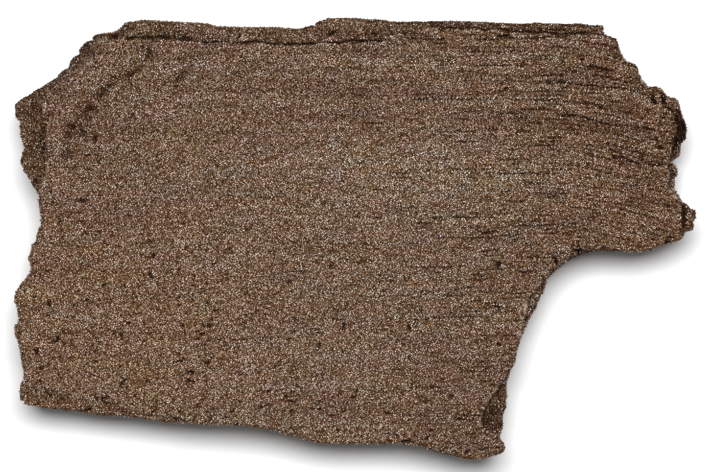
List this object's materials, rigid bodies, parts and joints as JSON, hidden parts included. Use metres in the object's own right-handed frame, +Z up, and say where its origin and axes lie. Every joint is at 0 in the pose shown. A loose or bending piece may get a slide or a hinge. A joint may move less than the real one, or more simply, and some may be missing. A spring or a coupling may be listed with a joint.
{
  "type": "druzy petrified wood",
  "caption": "Broken slab of petrified wood crusted with a fine quartz druse, lying flat with its druse face up.",
  "frame": {"origin": "under the middle of the slab, on the surface that it rests on", "axes": "+X along the grain of the wood, toward the broken corner's end; +Y across the grain; +Z up, out of the druse face"},
  "size_m": [0.1712, 0.111, 0.0278],
  "materials": {
    "druse_crusted_stone": "sugary crust of tiny quartz points over brown petrified wood, sparkling in reddish, olive and grey brown"
  },
  "bodies": {
    "root": {"petrified_wood": "druse_crusted_stone"}
  },
  "joints": []
}
